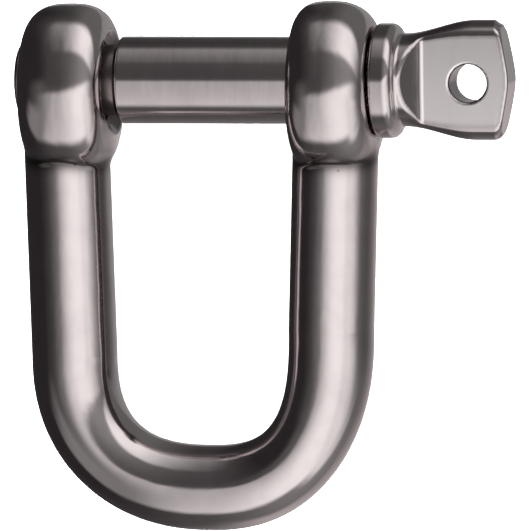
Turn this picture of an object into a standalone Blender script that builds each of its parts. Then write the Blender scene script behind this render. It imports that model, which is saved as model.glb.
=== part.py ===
"""Chain joining shackle with a screw pin, 12 mm size, lying on its side on a flat surface.

The bow is one forging: a round bar bent to a D, with an ear at each end for the pin. The ear on the -X side is
tapped and the one on the +X side has a plain hole. The screw pin is one forging too: a threaded end, a shank, a
collar, a short neck and a flat tab with an eye for a tommy bar or a mousing wire.

Units are metres and +Z is up. Both pieces are drawn in a shackle frame whose X runs along the pin, whose Y runs
from the crown to the pin and whose origin is on the pin's axis, midway between the legs. The frame is an empty
that is tipped about X until the ears and the crown touch the surface.
"""

import math
from collections import namedtuple

import bmesh
import bpy
from mathutils import Matrix, Vector

MM = 0.001
Leg = namedtuple("Leg", "side lean crown_height crown_fullness thinning")

# Gaps and clearances
SEAT_GAP = 0.3 * MM
SHANK_CLEARANCE = 0.4 * MM
THREAD_CLEARANCE = 0.3 * MM

# Bar of the bow
BAR_RADIUS = 6.0 * MM
JAW_WIDTH = 27.0 * MM
INSIDE_LENGTH = 45.05 * MM
CROWN_OFFSET = 0.86 * MM

# The two legs, and the quarter of the crown that each one runs into
THREADED_LEG_LEAN = math.radians(1.5)
THREADED_CROWN_HEIGHT = 18.4 * MM
THREADED_CROWN_FULLNESS = 2.34
THREADED_SHOULDER_THINNING = 0.27 * MM
PLAIN_LEG_LEAN = math.radians(1.9)
PLAIN_CROWN_HEIGHT = 22.3 * MM
PLAIN_CROWN_FULLNESS = 2.44
PLAIN_SHOULDER_THINNING = 0.41 * MM

# Ears: wall round the hole, inner and outer face from the ear's middle, and how full the rounding is to each face
EAR_FULLNESS = 4.0
EAR_WALL = 5.1 * MM
THREADED_EAR_INNER = 6.0 * MM
THREADED_EAR_OUTER = 6.0 * MM
THREADED_EAR_FULLNESS = 2.8
THREADED_EAR_OFFSET = 0.86 * MM
PLAIN_EAR_ALLOWANCE = 0.37 * MM
PLAIN_EAR_INNER = 5.4 * MM
PLAIN_EAR_OUTER = 6.0 * MM
PLAIN_EAR_INNER_FULLNESS = 3.4
PLAIN_EAR_OUTER_FULLNESS = 2.1
PLAIN_EAR_OFFSET = 0.33 * MM
ROUNDING_OVERRUN = 0.5 * MM

# Necks, where the ears run down into the legs
FORGING_FILLET = 5.2 * MM
THREADED_NECK_STEP = 0.75 * MM
PLAIN_NECK_STEP = -0.15 * MM
NECK_FULLNESS = 2.8
ROOT_SHARE = 0.8
ROUND_FULLNESS = 2.0

# Screw pin
SHANK_RADIUS = 6.1 * MM
SHANK_CHAMFER = 0.5 * MM
SHANK_SETBACK = 1.2 * MM
THREAD_PITCH_RADIUS = 5.5 * MM
THREAD_RELIEF_DEPTH = 0.4 * MM
THREAD_RELIEF_LENGTH = 2.2 * MM
TIP_PROTRUSION = 1.05 * MM
TIP_ROUNDING = 0.9 * MM
COLLAR_RADIUS = 8.0 * MM
COLLAR_WIDTH = 3.2 * MM
COLLAR_ROUNDING = 0.8 * MM
COLLAR_FILLET = 0.6 * MM

# Holes in the ears
TAPPED_MOUTH_RADIUS = 6.98 * MM
TAPPED_BACK_CHAMFER = 0.5 * MM
PLAIN_MOUTH_CHAMFER = 0.4 * MM

# Flat tab of the pin
NECK_RADIUS = 6.4 * MM
TAB_LENGTH = 15.7 * MM
TAB_HALF_HEIGHT = 8.28 * MM
TAB_FLARE_LENGTH = 10.0 * MM
TAB_THICKNESS = 6.4 * MM
TAB_SIDE_DEPTH = 5.3 * MM
TAB_END_RADIUS = 13.4 * MM
TAB_CORNER_RADIUS = 0.9 * MM
SCOOP_START = 1.1 * MM
SCOOP_RADIUS = 2.3 * MM
EYE_RADIUS = 2.75 * MM
EYE_EDGE = 5.72 * MM
EYE_DROP = 0.3 * MM
EYE_ROUNDING = 0.4 * MM

# Fineness of the round forms
BAR_SIDES = 32
TURNED_STEPS = 48
HOLE_SIDES = 40
CROWN_STEPS = 14
NECK_STEPS = 7
BULB_STEPS = 7
ROUNDING_STEPS = 4
ARC_STEPS = 10
TAB_END_STEPS = 9
CUTTER_OVERRUN = 2.0 * MM
MOUTH_OVERRUN = 0.3 * MM
MOUTH_BREAK = 25.0
TRIM_CLEARANCE = 0.02 * MM

# Places worked out from the sizes above
CROWN_DEPTH = SHANK_RADIUS + INSIDE_LENGTH + BAR_RADIUS
LEG_SPREAD = JAW_WIDTH / 2 + BAR_RADIUS
THREADED_EAR_X = -LEG_SPREAD + THREADED_EAR_OFFSET
PLAIN_EAR_X = LEG_SPREAD - PLAIN_EAR_OFFSET
TAPPED_HOLE_RADIUS = THREAD_PITCH_RADIUS + THREAD_CLEARANCE / 2
PLAIN_HOLE_RADIUS = SHANK_RADIUS + SHANK_CLEARANCE
THREADED_EAR_RADIUS = TAPPED_HOLE_RADIUS + EAR_WALL
PLAIN_EAR_RADIUS = THREADED_EAR_RADIUS + PLAIN_EAR_ALLOWANCE
LARGER_EAR_RADIUS = max(THREADED_EAR_RADIUS, PLAIN_EAR_RADIUS)
SHANK_START_X = THREADED_EAR_X + THREADED_EAR_INNER + SHANK_SETBACK
TIP_X = THREADED_EAR_X - THREADED_EAR_OUTER - TIP_PROTRUSION
COLLAR_X = PLAIN_EAR_X + PLAIN_EAR_OUTER + SEAT_GAP
TAB_START_X = COLLAR_X + COLLAR_WIDTH
TAB_END_X = TAB_START_X + TAB_LENGTH
EYE_X = TAB_END_X - EYE_EDGE
THREAD_RADIUS = THREAD_PITCH_RADIUS - THREAD_CLEARANCE / 2
REST_TILT = math.asin((LARGER_EAR_RADIUS - BAR_RADIUS) / CROWN_DEPTH)
THREADED_LEG = Leg(-1, THREADED_LEG_LEAN, THREADED_CROWN_HEIGHT, THREADED_CROWN_FULLNESS, THREADED_SHOULDER_THINNING)
PLAIN_LEG = Leg(1, PLAIN_LEG_LEAN, PLAIN_CROWN_HEIGHT, PLAIN_CROWN_FULLNESS, PLAIN_SHOULDER_THINNING)
REST_MIDDLE_X = (TIP_X + TAB_END_X) / 2
REST_MIDDLE_Y = (LARGER_EAR_RADIUS - CROWN_DEPTH * math.cos(REST_TILT) - BAR_RADIUS) / 2

STEEL_COLOUR = (0.56, 0.53, 0.53, 1.0)
STEEL_ROUGHNESS = 0.18


def clear_scene():
    """Remove every object that the scene holds."""
    for item in list(bpy.data.objects):
        bpy.data.objects.remove(item, do_unlink=True)


def new_collection(name):
    """Return a new collection linked to the scene."""
    collection = bpy.data.collections.new(name)
    bpy.context.scene.collection.children.link(collection)
    return collection


def steel(name):
    """Return polished stainless steel as a Principled BSDF material."""
    material = bpy.data.materials.new(name)
    material.use_nodes = True
    shader = material.node_tree.nodes["Principled BSDF"]
    shader.inputs["Base Color"].default_value = STEEL_COLOUR
    shader.inputs["Metallic"].default_value = 1.0
    shader.inputs["Roughness"].default_value = STEEL_ROUGHNESS
    return material


def new_object(name, mesh, collection):
    """Return a new object that holds the mesh."""
    item = bpy.data.objects.new(name, mesh)
    collection.objects.link(item)
    return item


def applied_mesh(item, turn=None):
    """Return the evaluated mesh of an object in world space, turned if asked, and remove the object."""
    bpy.context.view_layer.update()
    evaluated = item.evaluated_get(bpy.context.evaluated_depsgraph_get())
    mesh = bpy.data.meshes.new_from_object(evaluated)
    mesh.transform(item.matrix_world)
    if turn is not None:
        mesh.transform(turn)
    bpy.data.objects.remove(item, do_unlink=True)
    return mesh


def turned_solid(name, profile, collection, steps=TURNED_STEPS):
    """Turn a profile of (x along the axis, radius) points, from its +X end to its -X end, about the X axis."""
    mesh = bpy.data.meshes.new(name)
    points = [(radius, 0.0, along) for along, radius in profile]
    mesh.from_pydata(points, [(i, i + 1) for i in range(len(points) - 1)], [])
    item = new_object(name, mesh, collection)
    screw = item.modifiers.new("turning", "SCREW")
    screw.axis = "Z"
    screw.steps = steps
    screw.render_steps = steps
    screw.use_merge_vertices = True
    screw.merge_threshold = 0.00001
    return new_object(name, applied_mesh(item, Matrix.Rotation(math.pi / 2, 4, "Y")), collection)


def lofted_solid(name, rings, collection):
    """Skin rings of equally many points, each in order round the axis, and close both ends."""
    form = bmesh.new()
    loops = [[form.verts.new(point) for point in ring] for ring in rings]
    for near, far in zip(loops, loops[1:]):
        for i in range(len(near)):
            j = (i + 1) % len(near)
            form.faces.new((near[i], near[j], far[j], far[i]))
    form.faces.new(list(reversed(loops[0])))
    form.faces.new(loops[-1])
    bmesh.ops.recalc_face_normals(form, faces=form.faces)
    mesh = bpy.data.meshes.new(name)
    form.to_mesh(mesh)
    form.free()
    return new_object(name, mesh, collection)


def extruded_outline(name, outline, half_depth, turn, collection):
    """Extrude a closed flat outline to both sides of its plane, then turn it into place."""
    curve = bpy.data.curves.new(name, "CURVE")
    curve.dimensions = "2D"
    curve.fill_mode = "BOTH"
    curve.extrude = half_depth
    spline = curve.splines.new("POLY")
    spline.points.add(len(outline) - 1)
    for point, (x, y) in zip(spline.points, outline):
        point.co = (x, y, 0.0, 1.0)
    spline.use_cyclic_u = True
    mesh = applied_mesh(new_object(name, curve, collection), turn)
    form = bmesh.new()
    form.from_mesh(mesh)
    bmesh.ops.remove_doubles(form, verts=form.verts, dist=0.000001)
    bmesh.ops.recalc_face_normals(form, faces=form.faces)
    form.to_mesh(mesh)
    form.free()
    return new_object(name, mesh, collection)


def as_tool(item):
    """Mark an object as a shaping tool that is no part of the shackle."""
    item.hide_render = True
    item.display_type = "WIRE"
    return item


def shape(item, tool, operation, parent):
    """Join a tool to an item, or cut the item with it."""
    as_tool(tool)
    tool.parent = parent
    modifier = item.modifiers.new(tool.name, "BOOLEAN")
    modifier.operation = operation
    modifier.solver = "EXACT"
    modifier.object = tool


def arc(centre, radius, start, end, steps):
    """Return points on an arc, from one angle in degrees to another."""
    angles = [math.radians(start + (end - start) * i / steps) for i in range(steps + 1)]
    return [(centre[0] + radius * math.cos(a), centre[1] + radius * math.sin(a)) for a in angles]


def ellipse_ring(centre, across, half_across, half_up, fullness, sides):
    """Return one section of a bar: a rounded ring across a direction in the XY plane and up Z."""
    ring = []
    for i in range(sides):
        angle = 2 * math.pi * i / sides
        c = math.cos(angle)
        s = math.sin(angle)
        out = math.copysign(abs(c) ** (2 / fullness), c) * half_across
        up = math.copysign(abs(s) ** (2 / fullness), s) * half_up
        ring.append(centre + across * out + Vector((0, 0, up)))
    return ring


def bulb_half(radius, face, fullness, steps):
    """Return one half of an ear's outline as (distance from its middle, radius), from its face to its middle.

    The outline is a superellipse that would end ROUNDING_OVERRUN beyond the face, where the face is cut flat.
    """
    reach = face + ROUNDING_OVERRUN
    start = math.acos((face / reach) ** (fullness / 2))
    points = []
    for i in range(steps + 1):
        angle = start + (math.pi / 2 - start) * i / steps
        along = reach * max(math.cos(angle), 0.0) ** (2 / fullness)
        points.append((along, radius * math.sin(angle) ** (2 / EAR_FULLNESS)))
    return points


def ear_profile(middle, radius, low_face, low_fullness, high_face, high_fullness):
    """Return an ear's turning profile, from its +X face to its -X face."""
    high = bulb_half(radius, high_face, high_fullness, BULB_STEPS)
    low = bulb_half(radius, low_face, low_fullness, BULB_STEPS)
    profile = [(middle + along, r) for along, r in high]
    profile += [(middle - along, r) for along, r in reversed(low[:-1])]
    return [(middle + high_face, 0.0)] + profile + [(middle - low_face, 0.0)]


def leg_centre(leg, depth):
    """Return the middle of a leg's bar at a depth below the pin's axis."""
    return Vector((leg.side * (LEG_SPREAD - depth * math.tan(leg.lean)), -depth, 0.0))


def neck_sections(leg, ear_x, ear_radius, step):
    """Return (centre, half width, half height, fullness) of the bar's sections from inside an ear down to the leg.

    Seen from the side, the bar grows into the round ear along a fillet; seen from the front, it has a small step.
    """
    foot = math.sqrt((ear_radius + FORGING_FILLET) ** 2 - (BAR_RADIUS + FORGING_FILLET) ** 2)
    head = ear_radius * foot / (ear_radius + FORGING_FILLET)
    sections = []
    for i in range(NECK_STEPS + 1):
        share = i / NECK_STEPS
        depth = head + (foot - head) * share
        rise = FORGING_FILLET - math.sqrt(max(FORGING_FILLET**2 - (foot - depth) ** 2, 0.0))
        half_width = BAR_RADIUS + step * math.sqrt(max(1.0 - share**2, 0.0))
        centre = leg_centre(leg, depth)
        centre.x += (ear_x - centre.x) * (1.0 - share)
        fullness = ROUND_FULLNESS + (NECK_FULLNESS - ROUND_FULLNESS) * (1.0 - share)
        sections.append((centre, half_width, BAR_RADIUS + rise, fullness))
    top = sections[0]
    inside = (Vector((ear_x, -head / 2, 0.0)), top[1] * ROOT_SHARE, top[2], top[3])
    return [inside] + sections


def crown_quarter(leg):
    """Return the bar's sections from the end of a leg to the lowest point of the crown."""
    leg_depth = CROWN_DEPTH - leg.crown_height
    start = leg_centre(leg, leg_depth)
    sections = []
    for i in range(CROWN_STEPS + 1):
        angle = math.pi / 2 * i / CROWN_STEPS
        out = max(math.cos(angle), 0.0) ** (2 / leg.crown_fullness)
        down = math.sin(angle) ** (2 / leg.crown_fullness)
        x = CROWN_OFFSET + (start.x - CROWN_OFFSET) * out
        half_width = BAR_RADIUS - leg.thinning * math.sin(2 * angle) ** 2
        sections.append((Vector((x, -leg_depth - leg.crown_height * down, 0.0)), half_width, BAR_RADIUS, ROUND_FULLNESS))
    return sections


def bow_rings():
    """Return the rings of the whole bar, from inside the tapped ear, round the crown and into the plain ear."""
    threaded = neck_sections(THREADED_LEG, THREADED_EAR_X, THREADED_EAR_RADIUS, THREADED_NECK_STEP)
    plain = neck_sections(PLAIN_LEG, PLAIN_EAR_X, PLAIN_EAR_RADIUS, PLAIN_NECK_STEP)
    threaded += crown_quarter(THREADED_LEG)
    plain += crown_quarter(PLAIN_LEG)
    sections = threaded + list(reversed(plain))[1:]
    rings = []
    for i, (centre, half_width, half_height, fullness) in enumerate(sections):
        before = sections[max(i - 1, 0)][0]
        after = sections[min(i + 1, len(sections) - 1)][0]
        along = (after - before).normalized()
        across = Vector((along.y, -along.x, 0.0))
        rings.append(ellipse_ring(centre, across, half_width, half_height, fullness, BAR_SIDES))
    return rings


def hole_cutter(name, stations, collection):
    """Return a turned cutter for a hole, from (x, radius) stations given from +X to -X."""
    first = (stations[0][0], 0.0)
    last = (stations[-1][0], 0.0)
    return turned_solid(name, [first] + stations + [last], collection, HOLE_SIDES)


def tapped_hole_stations():
    """Return the tapped hole's outline: a countersunk mouth inside and a small chamfer outside."""
    inner = THREADED_EAR_X + THREADED_EAR_INNER
    outer = THREADED_EAR_X - THREADED_EAR_OUTER
    flare = TAPPED_MOUTH_RADIUS - TAPPED_HOLE_RADIUS
    back = TAPPED_HOLE_RADIUS + TAPPED_BACK_CHAMFER
    return [
        (inner + CUTTER_OVERRUN, TAPPED_MOUTH_RADIUS + CUTTER_OVERRUN),
        (inner - flare, TAPPED_HOLE_RADIUS),
        (outer + TAPPED_BACK_CHAMFER, TAPPED_HOLE_RADIUS),
        (outer - CUTTER_OVERRUN, back + CUTTER_OVERRUN),
    ]


def plain_hole_stations():
    """Return the plain hole's outline, with a small chamfer at both mouths."""
    inner = PLAIN_EAR_X - PLAIN_EAR_INNER
    outer = PLAIN_EAR_X + PLAIN_EAR_OUTER
    wide = PLAIN_HOLE_RADIUS + PLAIN_MOUTH_CHAMFER + CUTTER_OVERRUN
    return [
        (outer + CUTTER_OVERRUN, wide),
        (outer - PLAIN_MOUTH_CHAMFER, PLAIN_HOLE_RADIUS),
        (inner + PLAIN_MOUTH_CHAMFER, PLAIN_HOLE_RADIUS),
        (inner - CUTTER_OVERRUN, wide),
    ]


def build_bow(frame, parts, tools):
    """Build the bow: the bent bar, the two turned ears joined to it, and the hole through each ear."""
    bow = lofted_solid("bow", bow_rings(), parts)
    bow.parent = frame
    threaded = ear_profile(
        THREADED_EAR_X,
        THREADED_EAR_RADIUS,
        THREADED_EAR_OUTER,
        THREADED_EAR_FULLNESS,
        THREADED_EAR_INNER,
        THREADED_EAR_FULLNESS,
    )
    plain = ear_profile(
        PLAIN_EAR_X,
        PLAIN_EAR_RADIUS,
        PLAIN_EAR_INNER,
        PLAIN_EAR_INNER_FULLNESS,
        PLAIN_EAR_OUTER,
        PLAIN_EAR_OUTER_FULLNESS,
    )
    shape(bow, turned_solid("threaded_ear", threaded, tools), "UNION", frame)
    shape(bow, turned_solid("plain_ear", plain, tools), "UNION", frame)
    shape(bow, hole_cutter("tapped_hole", tapped_hole_stations(), tools), "DIFFERENCE", frame)
    shape(bow, hole_cutter("plain_hole", plain_hole_stations(), tools), "DIFFERENCE", frame)
    return bow


def pin_profile():
    """Return the pin's turning profile, from the back of the collar to the threaded tip."""
    rim = COLLAR_RADIUS - COLLAR_ROUNDING
    back_rim = arc((TAB_START_X - COLLAR_ROUNDING, rim), COLLAR_ROUNDING, 0, 90, ROUNDING_STEPS)
    front_rim = arc((COLLAR_X + COLLAR_ROUNDING, rim), COLLAR_ROUNDING, 90, 180, ROUNDING_STEPS)
    relief = THREAD_RADIUS - THREAD_RELIEF_DEPTH
    relief_end = SHANK_START_X - THREAD_RELIEF_LENGTH
    tip_centre = (TIP_X + TIP_ROUNDING, THREAD_RADIUS - TIP_ROUNDING)
    return (
        [(TAB_START_X, 0.0)]
        + back_rim
        + front_rim
        + [
            (COLLAR_X, SHANK_RADIUS),
            (SHANK_START_X + SHANK_CHAMFER, SHANK_RADIUS),
            (SHANK_START_X, SHANK_RADIUS - SHANK_CHAMFER),
            (SHANK_START_X, relief),
            (relief_end, relief),
            (relief_end - THREAD_RELIEF_DEPTH, THREAD_RADIUS),
        ]
        + arc(tip_centre, TIP_ROUNDING, 90, 180, ROUNDING_STEPS)
        + [(TIP_X, 0.0)]
    )


def tab_rings():
    """Return the tab's rings before milling: a fillet behind the collar, a round neck, then a higher, flatter bar."""
    fillet_centre = (TAB_START_X + COLLAR_FILLET, NECK_RADIUS + COLLAR_FILLET)
    fillet = arc(fillet_centre, COLLAR_FILLET, 180, 270, ROUNDING_STEPS)
    stations = [(TAB_START_X - COLLAR_WIDTH / 2, NECK_RADIUS + COLLAR_FILLET)] + fillet
    flare_start = TAB_START_X + COLLAR_FILLET
    flare_steps = [flare_start + TAB_LENGTH * i / ARC_STEPS for i in range(1, ARC_STEPS + 1)]
    stations += [(x, NECK_RADIUS) for x in flare_steps + [TAB_END_X + CUTTER_OVERRUN]]
    rings = []
    for x, radius in stations:
        share = min(max((x - flare_start) / TAB_FLARE_LENGTH, 0.0), 1.0)
        eased = share * share * (3.0 - 2.0 * share)
        half_height = radius + (TAB_HALF_HEIGHT - NECK_RADIUS) * eased
        half_depth = radius + (TAB_SIDE_DEPTH - NECK_RADIUS) * eased
        across = Vector((0.0, 1.0, 0.0))
        rings.append(ellipse_ring(Vector((x, 0, 0)), across, half_height, half_depth, ROUND_FULLNESS, TURNED_STEPS))
    return rings


def tab_end_outline():
    """Return the outline that trims the tab's end: a shallow arc with rounded corners, in the XY plane."""
    centre_x = TAB_END_X - TAB_END_RADIUS
    height = TAB_HALF_HEIGHT + TRIM_CLEARANCE
    inner = TAB_END_RADIUS - TAB_CORNER_RADIUS
    corner_y = height - TAB_CORNER_RADIUS
    turn = math.degrees(math.asin(corner_y / inner))
    corner_x = centre_x + math.sqrt(inner**2 - corner_y**2)
    end = arc((centre_x, 0.0), TAB_END_RADIUS, -turn, turn, TAB_END_STEPS)
    top = arc((corner_x, corner_y), TAB_CORNER_RADIUS, turn, 90, ROUNDING_STEPS)
    bottom = arc((corner_x, -corner_y), TAB_CORNER_RADIUS, -90, -turn, ROUNDING_STEPS)
    start = COLLAR_X + COLLAR_WIDTH / 4
    return [(start, -height)] + bottom[:-1] + end + top[1:] + [(start, height)]


def scoop_outline():
    """Return the outline of one milling cut, as (x, depth) points: a flat that ends in a round scoop."""
    floor = TAB_THICKNESS / 2
    start = TAB_START_X + SCOOP_START
    end = TAB_END_X + CUTTER_OVERRUN
    top = COLLAR_RADIUS + CUTTER_OVERRUN
    scoop = arc((start + SCOOP_RADIUS, floor + SCOOP_RADIUS), SCOOP_RADIUS, 180, 270, 2 * ROUNDING_STEPS)
    return [(start, top)] + scoop + [(end, floor), (end, top)]


def eye_stations():
    """Return the eye's outline through the tab, with a rounded edge on both faces.

    The rounding stops MOUTH_BREAK degrees short of the face, and a straight flare runs on out of the tab from there.
    """
    half = TAB_THICKNESS / 2
    centre = (half - EYE_ROUNDING, EYE_RADIUS + EYE_ROUNDING)
    upper = arc(centre, EYE_ROUNDING, -MOUTH_BREAK, -90, ROUNDING_STEPS)
    rise = half + MOUTH_OVERRUN - upper[0][0]
    flare = (half + MOUTH_OVERRUN, upper[0][1] + rise / math.tan(math.radians(MOUTH_BREAK)))
    upper = [flare] + upper
    return upper + [(-x, r) for x, r in reversed(upper)]


def build_pin(frame, parts, tools):
    """Build the screw pin: the turned body, the tab joined to it, the milled flats and the eye."""
    pin = turned_solid("screw_pin", pin_profile(), parts)
    pin.parent = frame
    tab = lofted_solid("tab_blank", tab_rings(), tools)
    flat_turn = Matrix.Identity(4)
    trim = extruded_outline("tab_end", tab_end_outline(), COLLAR_RADIUS, flat_turn, tools)
    shape(tab, trim, "INTERSECT", frame)
    shape(pin, tab, "UNION", frame)
    upright = Matrix.Rotation(math.pi / 2, 4, "X")
    for name, flip in (("upper_flat", 1), ("lower_flat", -1)):
        outline = [(x, flip * depth) for x, depth in scoop_outline()]
        flat = extruded_outline(name, outline, TAB_HALF_HEIGHT + CUTTER_OVERRUN, upright, tools)
        shape(pin, flat, "DIFFERENCE", frame)
    eye = hole_cutter("eye", eye_stations(), tools)
    eye.data.transform(Matrix.Translation((EYE_X, -EYE_DROP, 0)) @ Matrix.Rotation(-math.pi / 2, 4, "Y"))
    shape(pin, eye, "DIFFERENCE", frame)
    return pin


def finish(item, name):
    """Give an object its steel and smooth its round faces."""
    item.data.materials.clear()
    item.data.materials.append(steel(name))
    item.data.shade_smooth()
    item.data.set_sharp_from_angle(angle=math.radians(35))


def build_shackle():
    """Build the whole shackle, lying on its side with its bounding box centred over the origin."""
    parts = new_collection("chain_joining_shackle")
    tools = new_collection("shaping_tools")
    frame = bpy.data.objects.new("shackle_frame", None)
    parts.objects.link(frame)
    frame.location = (-REST_MIDDLE_X, -REST_MIDDLE_Y, LARGER_EAR_RADIUS)
    frame.rotation_euler = (REST_TILT, 0.0, 0.0)
    finish(build_bow(frame, parts, tools), "bow_steel")
    finish(build_pin(frame, parts, tools), "pin_steel")


clear_scene()
build_shackle()
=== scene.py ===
"""Looks of the chain joining shackle: a forged bow and a screw pin in polished steel on a pale floor.

Each piece starts as its CAD solid, gets an even skin of small faces, and is then drawn onto a smooth form:
a distance function with the forging's blends, the machined edges and the seats. The threads are turned
surfaces that a Geometry Nodes tree cuts along a helix.

Sizes are metres. The shackle frame has X along the pin and Y from the crown to the pin, with its origin on
the pin's axis midway between the legs. The finished meshes are carried from there to where it lies.
"""

import logging
import math
from dataclasses import dataclass, field
from enum import Enum
from typing import ClassVar

import bmesh
import bpy
import numpy as np
from mathutils import Matrix, Vector
from mathutils.kdtree import KDTree


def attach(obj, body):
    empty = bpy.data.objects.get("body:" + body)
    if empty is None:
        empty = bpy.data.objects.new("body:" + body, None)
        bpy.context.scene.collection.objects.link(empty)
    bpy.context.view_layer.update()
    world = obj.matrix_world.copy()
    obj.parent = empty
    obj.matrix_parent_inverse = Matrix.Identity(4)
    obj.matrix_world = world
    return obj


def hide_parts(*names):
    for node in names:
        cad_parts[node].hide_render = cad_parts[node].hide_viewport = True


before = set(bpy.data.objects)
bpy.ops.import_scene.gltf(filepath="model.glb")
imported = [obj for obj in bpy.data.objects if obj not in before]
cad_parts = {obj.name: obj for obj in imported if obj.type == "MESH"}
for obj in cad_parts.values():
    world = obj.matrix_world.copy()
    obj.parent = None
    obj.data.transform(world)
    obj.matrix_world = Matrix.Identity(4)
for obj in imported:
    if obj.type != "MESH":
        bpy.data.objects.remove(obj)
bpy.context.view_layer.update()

MM = 0.001
MERGE_DISTANCE = 0.001 * MM
SMALLEST_SLOPE = 1e-9
ROUND = 2.0
BUMP_DEPTH = 1.0 * MM
log = logging.getLogger("shackle")

Array = np.ndarray
Pair = tuple[Array | float, Array | float]
Colour = tuple[float, float, float]
Inputs = dict[str | int, object]


class Body(Enum):
    """The two bodies that the pieces ride on."""

    BOW = "bow"
    PIN = "pin"

    @property
    def slot(self) -> str:
        """Name of the record's material slot for the body's steel."""
        return f"{self.value}_steel"


class Mark(Enum):
    """What a piece's points keep for the steel to read, as shares from 0 to 1."""

    WEAR = "wear"
    MILLED = "milled"
    # Painted shade: darkening painted into the colour in the creases under the ears, round the tapped
    # mouth, on the eye's wall and on the ramps.
    PAINTED_SHADE = "painted_shade"

    def write(self, piece: bpy.types.Object, shares: Array) -> None:
        """Keep a share at each of the piece's points."""
        layer = piece.data.attributes.new(self.value, "FLOAT", "POINT")
        layer.data.foreach_set("value", shares.astype(np.float32))


class Side(Enum):
    """The sides of the pin's axis: the threaded leg stands at -X and the plain leg at +X."""

    THREADED = -1
    PLAIN = 1


def rounded_cut(first: Array, second: Array, radius: float) -> Array:
    """Keep what lies inside both forms, with the edge between them rounded.

    Args:
        first: Distances to the first form, negative inside.
        second: Distances to the second form.
        radius: Radius of the rounded edge.

    Returns:
        Distances to the shape that both forms share.
    """
    corner = np.hypot(np.maximum(first + radius, 0.0), np.maximum(second + radius, 0.0))
    return np.minimum(np.maximum(first, second), -radius) + corner


def filleted_join(first: Array, second: Array, radius: float) -> Array:
    """Join two forms with a fillet of the radius in the corner between them.

    Args:
        first: Distances to the first form, negative inside.
        second: Distances to the second form.
        radius: Radius of the fillet.

    Returns:
        Distances to the joined shape.
    """
    return -rounded_cut(-first, -second, radius)


def section_distance(across: Array, up: Array, half: Pair, fullness: Pair) -> Array:
    """Measure the distance to a superellipse section, to first order.

    Args:
        across: Places across the section.
        up: Places up the section.
        half: Half of its width and of its height.
        fullness: Its exponents across and up, ROUND for an ellipse and more for a fuller section.

    Returns:
        Distances, negative inside.
    """
    x = np.abs(across) / half[0]
    y = np.abs(up) / half[1]
    value = x ** fullness[0] + y ** fullness[1]
    slope_x = fullness[0] * x ** (fullness[0] - 1) / half[0]
    slope_y = fullness[1] * y ** (fullness[1] - 1) / half[1]
    slope = np.maximum(np.hypot(slope_x, slope_y), SMALLEST_SLOPE)
    return np.maximum((value - 1.0) / slope, -np.minimum(half[0], half[1]))


def settle(points: Array, form: "SteelForm", rounds: int = 6) -> tuple[Array, Array]:
    """Move points onto a form's surface by Newton steps.

    Args:
        points: Points near the surface, one to a row.
        form: The form, with its locate and distance methods.
        rounds: Number of steps.

    Returns:
        The settled points and the outward normals there.
    """
    probe = 0.01 * MM
    longest = 0.3 * MM
    flattest = 0.2
    slope = np.zeros_like(points)
    for step in range(rounds + 1):
        station = form.locate(points)
        for axis in range(3):
            shift = np.zeros(3)
            shift[axis] = probe
            ahead = form.distance(points + shift, station)
            behind = form.distance(points - shift, station)
            slope[:, axis] = (ahead - behind) / (2 * probe)
        if step < rounds:
            value = form.distance(points, station)
            square = np.maximum((slope**2).sum(axis=1), flattest)
            points = points - slope * np.clip(value / square, -longest, longest)[:, None]
    length = np.maximum(np.linalg.norm(slope, axis=1), SMALLEST_SLOPE)
    return points, slope / length[:, None]


@dataclass(frozen=True)
class Placement:
    """Where the shackle frame lies: tipped about X until the ears and the crown touch the floor."""

    tilt: float
    origin: Vector

    def matrix(self) -> Matrix:
        """Return the matrix from the shackle frame to the world."""
        return Matrix.Translation(self.origin) @ Matrix.Rotation(self.tilt, 4, "X")


SHACKLE_PLACE = Placement(math.radians(5.13995), Vector((-9.34 * MM, 25.9001 * MM, 11.12 * MM)))


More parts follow.
